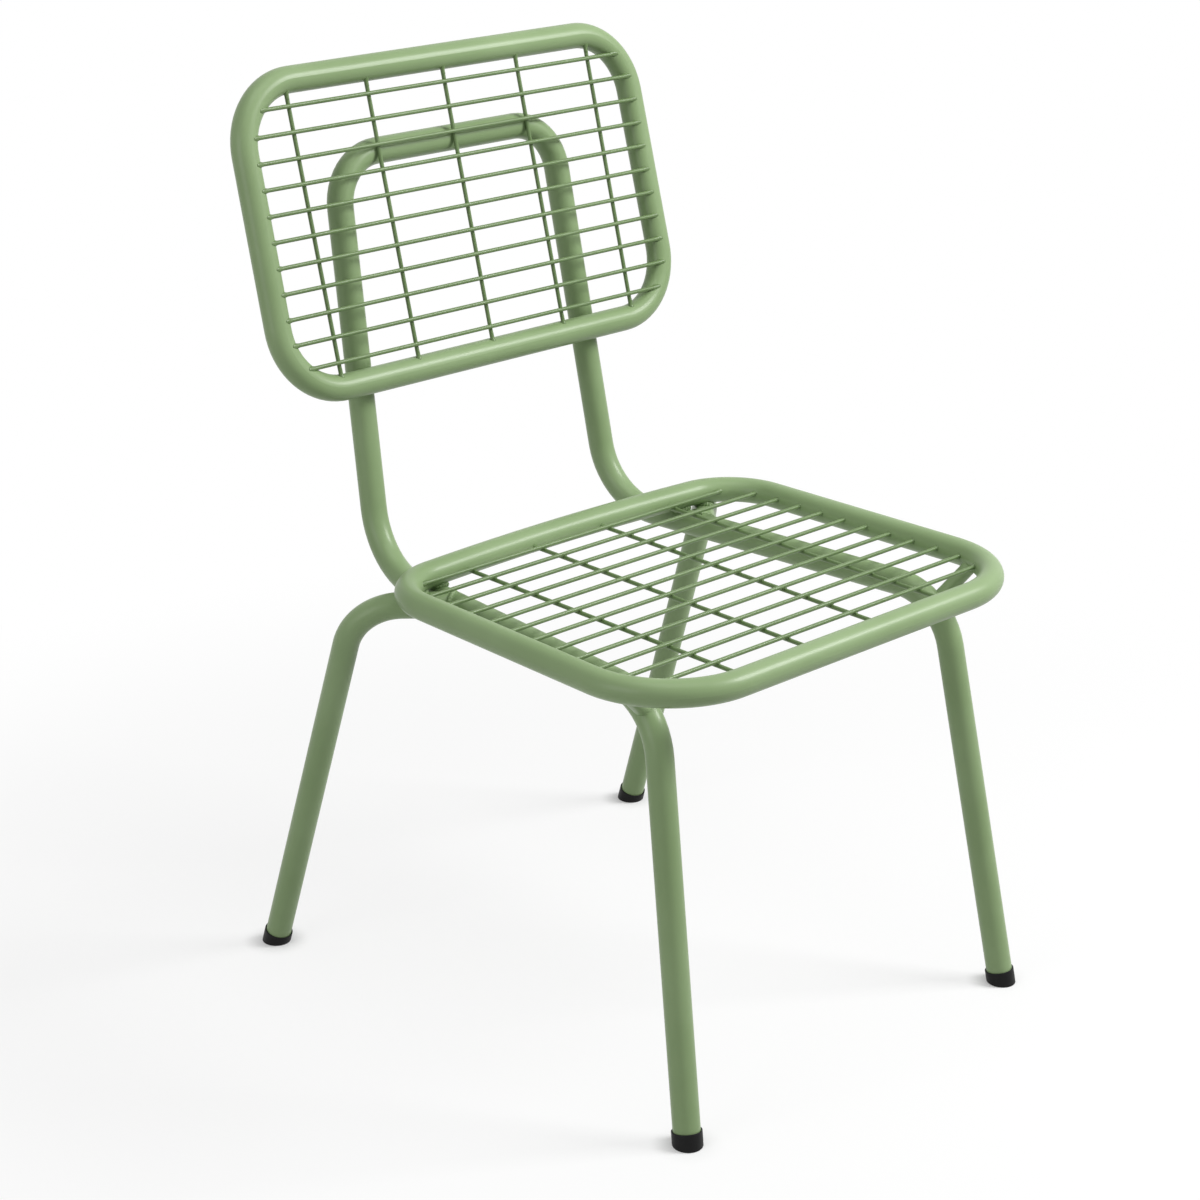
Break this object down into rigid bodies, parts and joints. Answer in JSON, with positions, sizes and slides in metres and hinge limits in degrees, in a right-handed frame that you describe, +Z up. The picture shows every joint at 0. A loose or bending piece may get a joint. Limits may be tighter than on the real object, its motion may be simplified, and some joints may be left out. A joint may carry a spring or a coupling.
{
  "type": "chair",
  "caption": "Dining chair of bent round tube with welded wire mesh in its seat and reclined back, in a pale green coat, on black foot caps.",
  "frame": {"origin": "on the floor, under the middle of the chair's outer box", "axes": "+Z up, -Y the way the sitter faces, +X to the right of someone who faces the chair"},
  "size_m": [0.5198, 0.595, 0.8629],
  "materials": {
    "green_coat": "satin powder coat, pale sage green",
    "black_cap": "moulded black plastic, matt"
  },
  "bodies": {
    "root": {"back_cross_wire_01": "green_coat", "back_cross_wire_02": "green_coat", "back_cross_wire_03": "green_coat", "back_cross_wire_04": "green_coat", "back_cross_wire_05": "green_coat", "back_cross_wire_06": "green_coat", "back_cross_wire_07": "green_coat", "back_cross_wire_08": "green_coat", "back_cross_wire_09": "green_coat", "back_cross_wire_10": "green_coat", "back_cross_wire_11": "green_coat", "back_loop": "green_coat", "back_upright_welds": "green_coat", "back_upright_wire_1": "green_coat", "back_upright_wire_2": "green_coat", "back_upright_wire_3": "green_coat", "back_upright_wire_4": "green_coat", "back_upright_wire_5": "green_coat", "front_foot_cap_left": "black_cap", "front_foot_cap_right": "black_cap", "front_stay_left": "green_coat", "front_stay_right": "green_coat", "leg_rail_welds": "green_coat", "main_frame": "green_coat", "rear_foot_cap_left": "black_cap", "rear_foot_cap_right": "black_cap", "rear_leg_left": "green_coat", "rear_leg_right": "green_coat", "seat_cross_wire_01": "green_coat", "seat_cross_wire_02": "green_coat", "seat_cross_wire_03": "green_coat", "seat_cross_wire_04": "green_coat", "seat_cross_wire_05": "green_coat", "seat_cross_wire_06": "green_coat", "seat_cross_wire_07": "green_coat", "seat_cross_wire_08": "green_coat", "seat_cross_wire_09": "green_coat", "seat_cross_wire_10": "green_coat", "seat_cross_wire_11": "green_coat", "seat_cross_wire_12": "green_coat", "seat_cross_wire_13": "green_coat", "seat_leg_welds": "green_coat", "seat_long_wire_1": "green_coat", "seat_long_wire_2": "green_coat", "seat_long_wire_3": "green_coat", "seat_long_wire_4": "green_coat", "seat_loop": "green_coat", "seat_rail_welds": "green_coat"}
  },
  "joints": []
}
